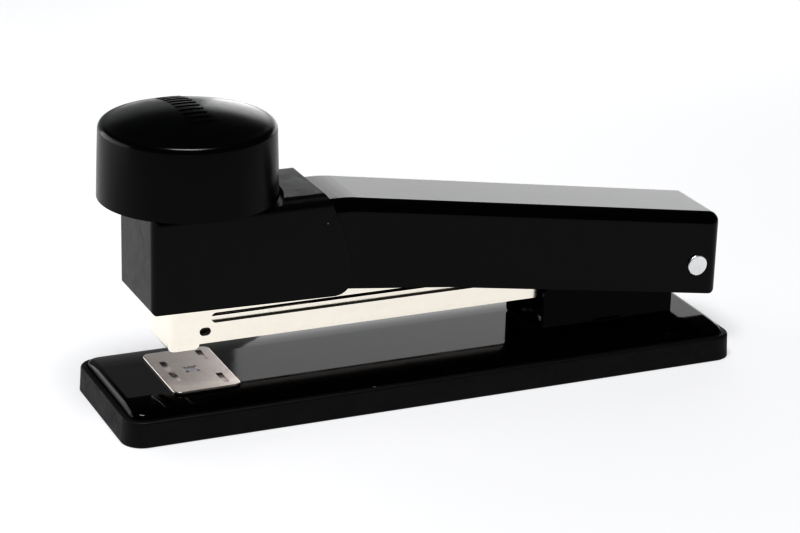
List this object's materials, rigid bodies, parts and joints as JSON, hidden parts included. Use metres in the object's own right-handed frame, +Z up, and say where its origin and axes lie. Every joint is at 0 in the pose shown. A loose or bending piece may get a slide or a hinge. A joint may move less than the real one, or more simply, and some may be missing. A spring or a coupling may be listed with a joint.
{
  "type": "stapler",
  "caption": "Desk stapler with a round palm knob, an opening arm, a sprung magazine and a turning anvil.",
  "frame": {"origin": "bottom centre of the base, on the surface that the stapler stands on", "axes": "+X runs along the base from the nose to the hinge, +Y across it and +Z up"},
  "size_m": [0.2, 0.0528, 0.0923],
  "materials": {
    "black_rubber": "matt moulded rubber",
    "black_enamel": "glossy black stove enamel on pressed steel",
    "black_plastic": "satin moulded plastic",
    "black_button": "plain moulded plastic",
    "nickel_steel": "nickel-plated steel, softly brushed",
    "bright_nickel": "bright nickel plate, slightly warm",
    "zinc_steel": "zinc-plated steel",
    "spring_steel": "drawn spring steel",
    "staple_wire": "galvanised wire, glued in a strip",
    "bright_pin": "turned steel"
  },
  "bodies": {
    "base": {"base_skirt": "black_rubber", "base_plate": "black_enamel", "hinge_bracket": "black_enamel", "bracket_rivets": "zinc_steel", "spring_seat": "zinc_steel", "magazine_spring": "spring_steel", "hinge_spacers": "zinc_steel", "anvil_spring": "spring_steel"},
    "anvil_slide": {"anvil_washer": "zinc_steel"},
    "anvil": {"anvil_plate": "nickel_steel", "anvil_post": "zinc_steel", "anvil_button": "black_button"},
    "magazine": {"magazine_channel": "bright_nickel", "magazine_nose": "bright_nickel", "staple_channel": "bright_nickel", "staple_rail": "bright_nickel", "magazine_rivets": "zinc_steel", "guide_rod": "zinc_steel", "pusher_spring": "spring_steel", "staple_strip": "staple_wire", "magazine_bridge": "bright_nickel", "cover_spring": "spring_steel"},
    "pusher": {"pusher": "zinc_steel"},
    "arm": {"arm_cover": "black_enamel", "head_cap": "black_plastic", "knob_cap": "black_plastic", "knob_base": "black_plastic", "knob_screw": "zinc_steel", "driver_holder": "zinc_steel", "driver_blade": "spring_steel", "driver_rivets": "zinc_steel", "hinge_pin": "bright_pin", "pin_retainer": "bright_pin"}
  },
  "joints": [
    {"name": "magazine_tilt", "type": "hinge", "parent": "base", "child": "magazine", "pos_m": [0.0909, 0, 0.0282], "axis": [0, 1, 0], "range_deg": [-3.3, 0], "stiffness_Nm_per_rad": 2.5, "springref_deg": 9.17, "deforming": ["magazine_spring"]},
    {"name": "arm_swing", "type": "hinge", "parent": "magazine", "child": "arm", "pos_m": [0.0909, 0, 0.0282], "axis": [0, 1, 0], "range_deg": [-3, 60], "deforming": ["cover_spring"]},
    {"name": "pusher_slide", "type": "slide", "parent": "magazine", "child": "pusher", "axis": [1, 0, 0], "range_m": [0, 0.08], "stiffness_N_per_m": 25, "springref_m": -0.08, "deforming": ["pusher_spring"]},
    {"name": "anvil_lift", "type": "slide", "parent": "base", "child": "anvil_slide", "axis": [0, 0, 1], "range_m": [0, 0.0025], "stiffness_N_per_m": 1500, "springref_m": -0.002, "deforming": ["anvil_spring"]},
    {"name": "anvil_turn", "type": "hinge", "parent": "anvil_slide", "child": "anvil", "pos_m": [-0.0718, 0, 0.0101], "axis": [0, 0, 1], "range_deg": [0, 180]}
  ]
}
